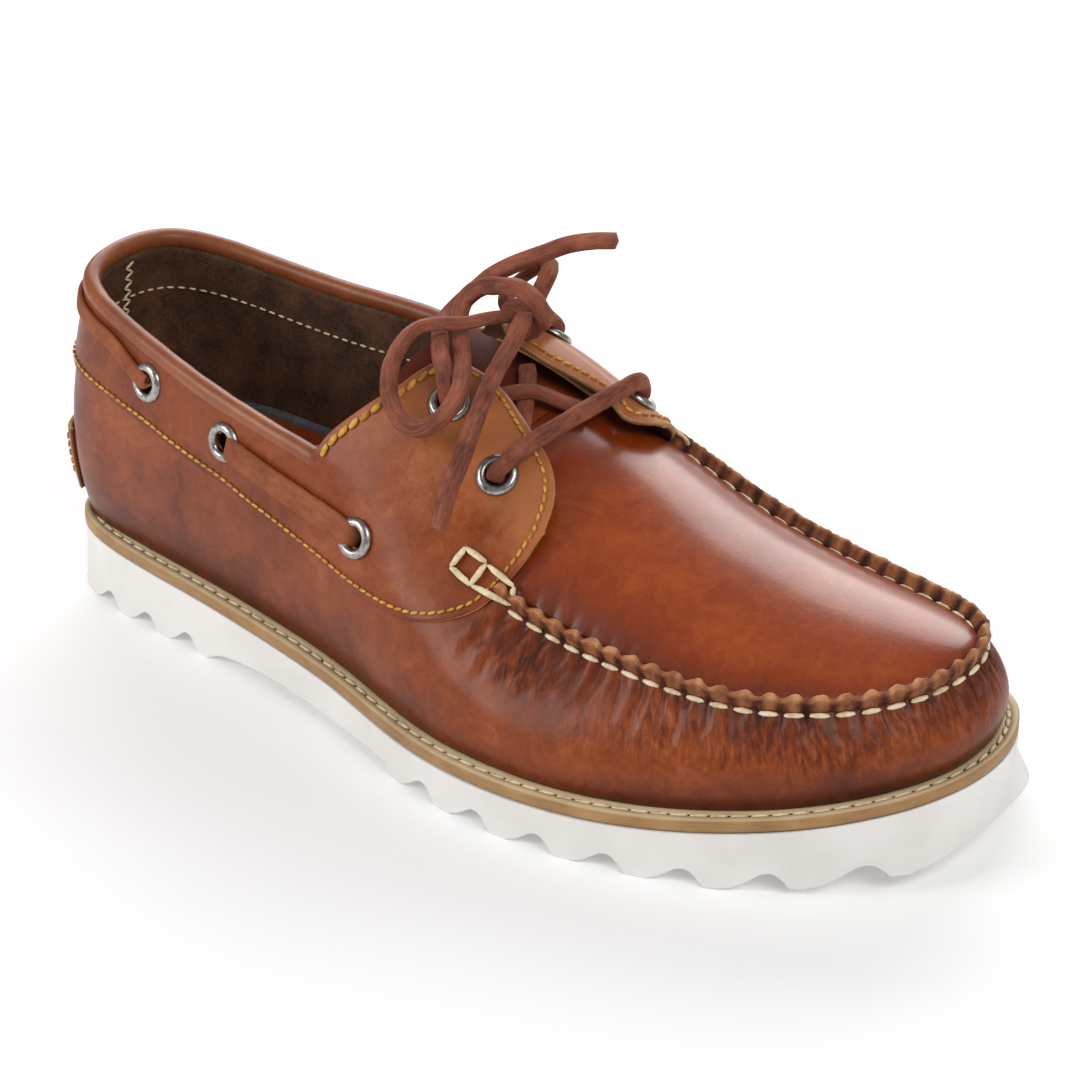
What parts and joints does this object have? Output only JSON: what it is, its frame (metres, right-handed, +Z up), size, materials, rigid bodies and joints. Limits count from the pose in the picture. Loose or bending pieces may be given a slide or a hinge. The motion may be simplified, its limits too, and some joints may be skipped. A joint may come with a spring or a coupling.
{
  "type": "boat shoe",
  "caption": "Right-foot leather boat shoe with a moccasin seam, eyelets, a rawhide bow and a cleated wedge outsole, standing empty on its sole.",
  "frame": {"origin": "bottom centre of the shoe's box, on the plane of its heel and forefoot cleats", "axes": "+Z up, toe towards -Y, outer (lateral) side towards -X"},
  "size_m": [0.115, 0.2928, 0.124],
  "materials": {
    "rubber_white": "matte moulded rubber",
    "welt_tan": "cut and waxed leather edge with cream lock stitches",
    "sock_leather": "smooth brown lining leather",
    "upper_leather": "burnished glossy pull-up leather",
    "collar_leather": "soft rolled leather",
    "strip_leather": "flat leather lacing",
    "lace_rawhide": "napped rawhide lace",
    "eyelet_metal": "dark nickel plate"
  },
  "bodies": {
    "root": {"outsole": "rubber_white", "welt": "welt_tan", "insole": "sock_leather", "upper": "upper_leather", "tongue": "upper_leather", "collar_roll": "collar_leather", "heel_patch": "upper_leather", "side_lace_lateral": "strip_leather", "side_lace_medial": "strip_leather", "heel_lace": "strip_leather", "lace_cross": "lace_rawhide", "lace_bar": "lace_rawhide", "lace_knot": "lace_rawhide", "lace_loop_lateral": "lace_rawhide", "lace_loop_medial": "lace_rawhide", "lace_end_upper": "lace_rawhide", "lace_end_lower": "lace_rawhide", "eyelet_lateral_front": "eyelet_metal", "eyelet_lateral_middle": "eyelet_metal", "eyelet_lateral_rear": "eyelet_metal", "eyelet_lateral_lower": "eyelet_metal", "eyelet_lateral_upper": "eyelet_metal", "eyelet_medial_front": "eyelet_metal", "eyelet_medial_middle": "eyelet_metal", "eyelet_medial_rear": "eyelet_metal", "eyelet_medial_lower": "eyelet_metal", "eyelet_medial_upper": "eyelet_metal"}
  },
  "joints": []
}
